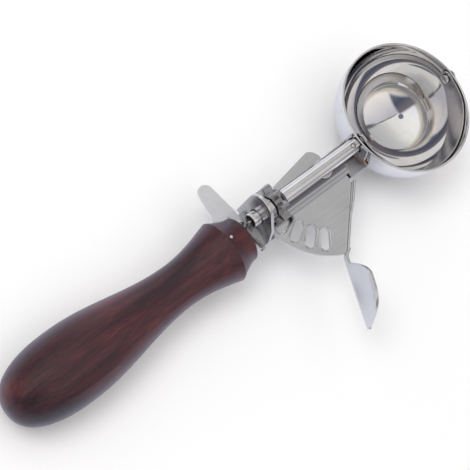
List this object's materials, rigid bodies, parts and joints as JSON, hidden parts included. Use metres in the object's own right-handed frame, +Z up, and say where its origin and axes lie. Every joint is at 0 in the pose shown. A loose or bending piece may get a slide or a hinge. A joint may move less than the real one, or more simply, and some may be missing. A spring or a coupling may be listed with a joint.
{
  "type": "ice cream scoop",
  "caption": "Thumb-lever ice cream scoop: half-round polished bowl, turning scraper on a star pinion and hollow rod, slotted sector lever and turned dark wood handle.",
  "frame": {"origin": "lowest point of the bowl, on the table and straight under the bowl's centre", "axes": "+X from the handle to the bowl along the turning rod, +Z up through the bowl's mouth, the thumb lever on the -Y side and the finger rest on the +Y side"},
  "size_m": [0.2067, 0.0797, 0.0364],
  "materials": {
    "bowl_polish": "mirror-polished steel",
    "polished_steel": "polished steel with fine drawing lines",
    "sheet_steel": "satin sheet steel",
    "spring_steel": "drawn wire",
    "washer_brass": "plain brass",
    "handle_wood": "satin varnished dark red-brown hardwood"
  },
  "bodies": {
    "frame": {"bowl": "bowl_polish", "bowl_bracket": "sheet_steel", "frame_plate": "sheet_steel", "upper_strip": "sheet_steel", "lever_rivet": "polished_steel", "upper_washer": "washer_brass", "lower_washer": "washer_brass", "finger_rest": "sheet_steel", "finger_rest_rivet": "polished_steel", "spring_anchor": "spring_steel", "handle": "handle_wood", "handle_pin": "polished_steel", "far_pivot_pin": "polished_steel", "return_spring": "spring_steel"},
    "rod": {"rod_tube": "polished_steel", "star_pinion": "sheet_steel", "pinion_collar": "polished_steel", "scraper_shaft": "polished_steel", "rod_pin": "polished_steel", "scraper": "polished_steel"},
    "lever": {"lever": "sheet_steel"}
  },
  "joints": [
    {"name": "rod_hinge", "type": "hinge", "parent": "frame", "child": "rod", "pos_m": [-0.0272, 0, 0.0255], "axis": [1, 0, 0], "range_deg": [0, 150], "stiffness_Nm_per_rad": 0.02, "springref_deg": -91.67},
    {"name": "lever_hinge", "type": "hinge", "parent": "frame", "child": "lever", "pos_m": [-0.041, 0, 0.0192], "axis": [0, 0, -1], "range_deg": [0, 40]}
  ],
  "couplings": [
    {"joint": "lever_hinge", "follows": "rod_hinge", "ratio": 0.26666}
  ]
}
